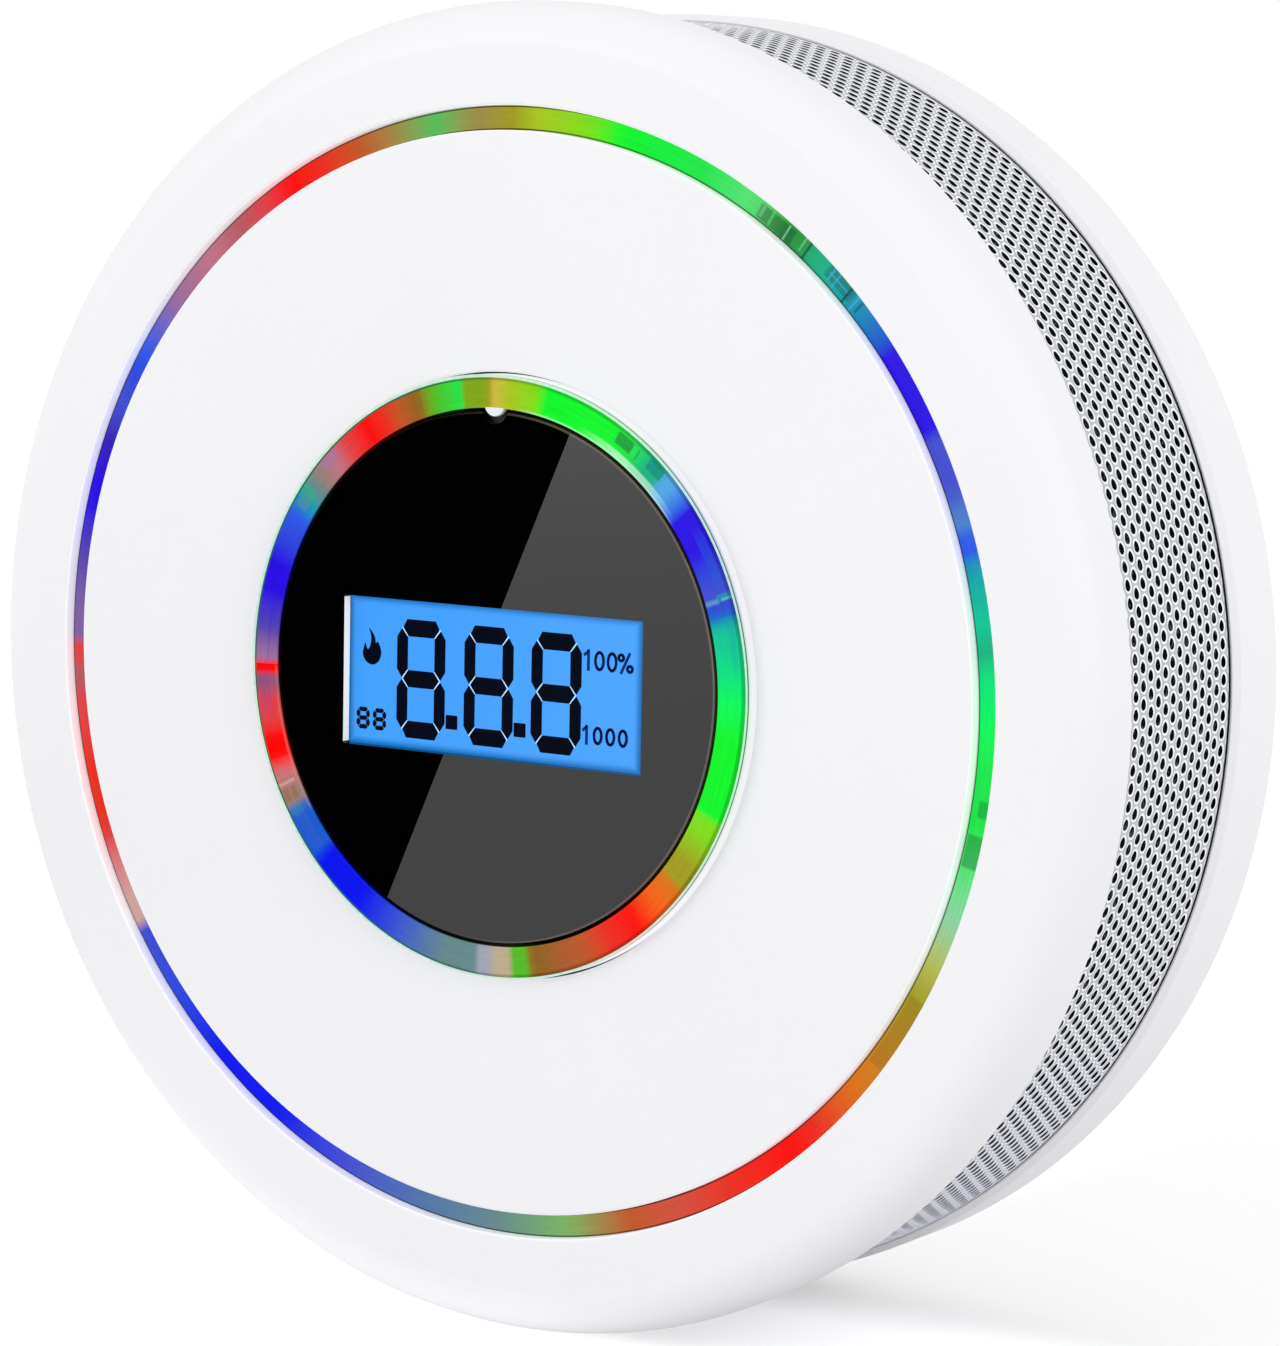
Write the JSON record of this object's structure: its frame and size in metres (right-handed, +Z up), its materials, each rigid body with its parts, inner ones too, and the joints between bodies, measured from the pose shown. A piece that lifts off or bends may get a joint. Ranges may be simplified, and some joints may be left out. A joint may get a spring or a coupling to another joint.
{
  "type": "carbon monoxide detector",
  "caption": "Round battery smoke and carbon monoxide alarm with display button, two clear light rings, side grille, battery door and twist-lock wall bracket.",
  "frame": {"origin": "centre of the alarm on the wall side of the bracket", "axes": "+Y into the wall, the face looks along -Y, +Z up, +X to the viewer's right"},
  "size_m": [0.105, 0.036, 0.105],
  "materials": {
    "white_plastic": "fine satin moulded shell, very pale cool white",
    "clear_plastic": "clear polished light guide",
    "black_gloss": "mirror-smooth black lens",
    "blue_display": "backlit blue liquid crystal glass with black segments",
    "grey_mesh": "fine pressed mesh, pale grey satin paint",
    "black_plastic": "plain moulded black",
    "board_green": "green solder mask over glass fibre",
    "steel": "plated steel",
    "brass": "rolled brass disc",
    "amber_film": "amber circuit film",
    "cell_wrap": "plain shrink wrap"
  },
  "bodies": {
    "bracket": {"mounting_bracket": "white_plastic"},
    "alarm": {"rear_case": "white_plastic", "front_bezel": "white_plastic", "face_disc": "white_plastic", "outer_light_ring": "clear_plastic", "inner_light_ring": "clear_plastic", "side_grille": "grey_mesh", "grille_cage": "black_plastic", "ribbon_socket": "black_plastic", "switch_body_left": "black_plastic", "switch_body_right": "black_plastic", "battery_cell": "cell_wrap", "battery_spring": "steel", "contact_plate_negative": "steel", "contact_plate_positive": "steel", "main_board": "board_green", "controller_chip": "black_plastic", "storage_capacitor": "black_plastic", "gas_sensor": "steel", "gas_filter_cap": "white_plastic", "smoke_chamber_base": "black_plastic", "smoke_chamber_cap": "black_plastic", "infrared_lamp": "clear_plastic", "photodiode": "black_plastic", "sounder_housing": "black_plastic", "sounder_disc": "brass", "case_screw_1": "steel", "case_screw_2": "steel", "case_screw_3": "steel", "board_screw_1": "steel", "board_screw_2": "steel", "board_screw_3": "steel", "outer_lamp_1": "white_plastic", "outer_lamp_2": "white_plastic", "outer_lamp_3": "white_plastic", "outer_lamp_4": "white_plastic", "outer_lamp_5": "white_plastic", "outer_lamp_6": "white_plastic", "outer_lamp_7": "white_plastic", "outer_lamp_8": "white_plastic", "inner_lamp_1": "white_plastic", "inner_lamp_2": "white_plastic", "inner_lamp_3": "white_plastic", "inner_lamp_4": "white_plastic", "inner_lamp_5": "white_plastic", "inner_lamp_6": "white_plastic", "inner_lamp_7": "white_plastic", "inner_lamp_8": "white_plastic"},
    "display_button": {"display_panel": "black_gloss", "display_glass": "blue_display", "display_backlight": "white_plastic", "button_carrier": "black_plastic", "display_ribbon": "amber_film", "switch_plunger_left": "white_plastic", "switch_plunger_right": "white_plastic"},
    "battery_door": {"battery_door": "white_plastic"}
  },
  "joints": [
    {"name": "alarm_twist", "type": "hinge", "parent": "bracket", "child": "alarm", "pos_m": [0, 0, 0], "axis": [0, -1, 0], "range_deg": [0, 12]},
    {"name": "button_press", "type": "slide", "parent": "alarm", "child": "display_button", "axis": [0, 1, 0], "range_m": [0, 0.0008], "stiffness_N_per_m": 1500},
    {"name": "battery_door_hinge", "type": "hinge", "parent": "alarm", "child": "battery_door", "pos_m": [0, -0.004, -0.03305], "axis": [-1, 0, 0], "range_deg": [0, 90]}
  ]
}
